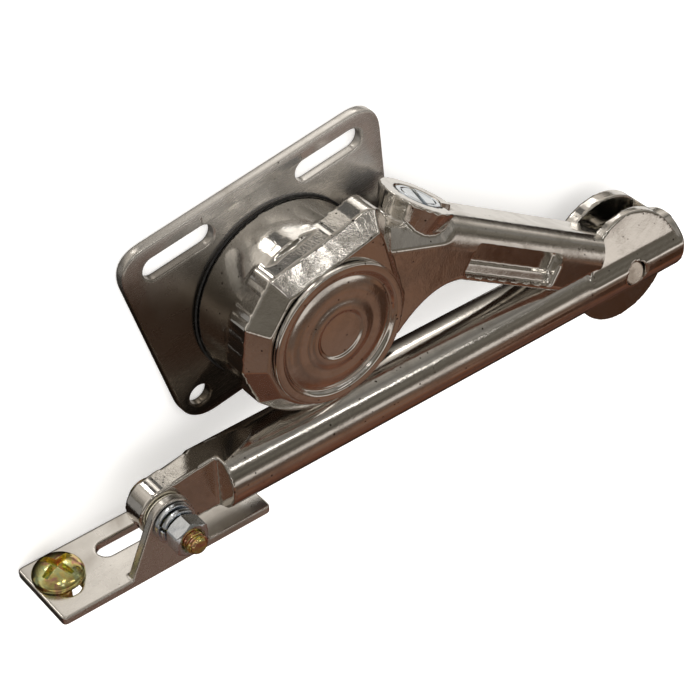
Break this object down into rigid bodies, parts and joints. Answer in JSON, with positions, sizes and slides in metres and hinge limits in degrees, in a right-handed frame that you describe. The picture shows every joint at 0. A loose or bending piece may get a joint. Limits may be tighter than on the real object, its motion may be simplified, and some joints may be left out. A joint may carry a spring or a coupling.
{
  "type": "spring door closer",
  "caption": "Spring door closer with a slotted mounting plate, a cast swing arm on a spring drum, a round link rod and an angled foot bracket.",
  "frame": {"origin": "on the spindle axis, on the mounting plate's back face", "axes": "+Z along the spindle away from the door frame, +X along the plate's long edge towards the elbow, +Y towards the plate's slotted edge"},
  "size_m": [0.1863, 0.0945, 0.0305],
  "materials": {
    "plated_casting": "nickel-plated casting, satin-bright with tarnish specks",
    "satin_steel": "nickel-plated pressed steel, satin",
    "zinc_plate": "bright bluish zinc plate",
    "yellow_zinc": "yellow passivated zinc plate",
    "spring_steel": "oiled spring steel",
    "bronze": "sintered bronze",
    "rubber": "matt black nitrile rubber",
    "nylon": "natural nylon"
  },
  "bodies": {
    "mount": {"mount_plate": "satin_steel", "spindle": "satin_steel", "spring_anchor_pin": "satin_steel", "return_spring": "spring_steel", "drum_seal": "rubber", "lower_thrust_washer": "bronze", "upper_thrust_washer": "bronze", "retaining_ring": "spring_steel"},
    "arm": {"swing_arm": "plated_casting", "hub_cap": "plated_casting", "lower_bush": "bronze", "upper_bush": "bronze", "elbow_bush": "bronze", "adjuster_washer": "spring_steel"},
    "adjuster": {"adjuster_screw": "zinc_plate"},
    "link": {"link_rod": "plated_casting", "elbow_pin": "satin_steel", "elbow_washer_back": "nylon", "elbow_washer_front": "nylon", "foot_bush": "bronze"},
    "foot": {"foot_bracket": "satin_steel", "pivot_bolt": "yellow_zinc", "ear_friction_washer": "nylon", "plain_washer": "zinc_plate", "spring_washer": "zinc_plate", "pivot_nut": "zinc_plate"},
    "fixing_screw": {"foot_screw": "yellow_zinc"}
  },
  "joints": [
    {"name": "hub_swing", "type": "hinge", "parent": "mount", "child": "arm", "pos_m": [0, 0, 0.012], "axis": [0, 0, 1], "range_deg": [0, 100], "stiffness_Nm_per_rad": 0.8, "springref_deg": -11.46},
    {"name": "elbow", "type": "hinge", "parent": "arm", "child": "link", "pos_m": [0.08842, -0.04841, 0.0126], "axis": [0, 0, 1], "range_deg": [0, 70]},
    {"name": "foot_pivot", "type": "hinge", "parent": "link", "child": "foot", "pos_m": [-0.04819, -0.02554, 0.0136], "axis": [0, 0, 1], "range_deg": [-75, 8]},
    {"name": "adjuster_turn", "type": "hinge", "parent": "arm", "child": "adjuster", "pos_m": [0.03368, 0.01029, 0.0144], "axis": [0.6652, 0.7466, 0], "range_deg": [0, 270]},
    {"name": "screw_slide", "type": "slide", "parent": "foot", "child": "fixing_screw", "axis": [0, 0, 1], "range_m": [-0.0012, 0.0044]}
  ]
}
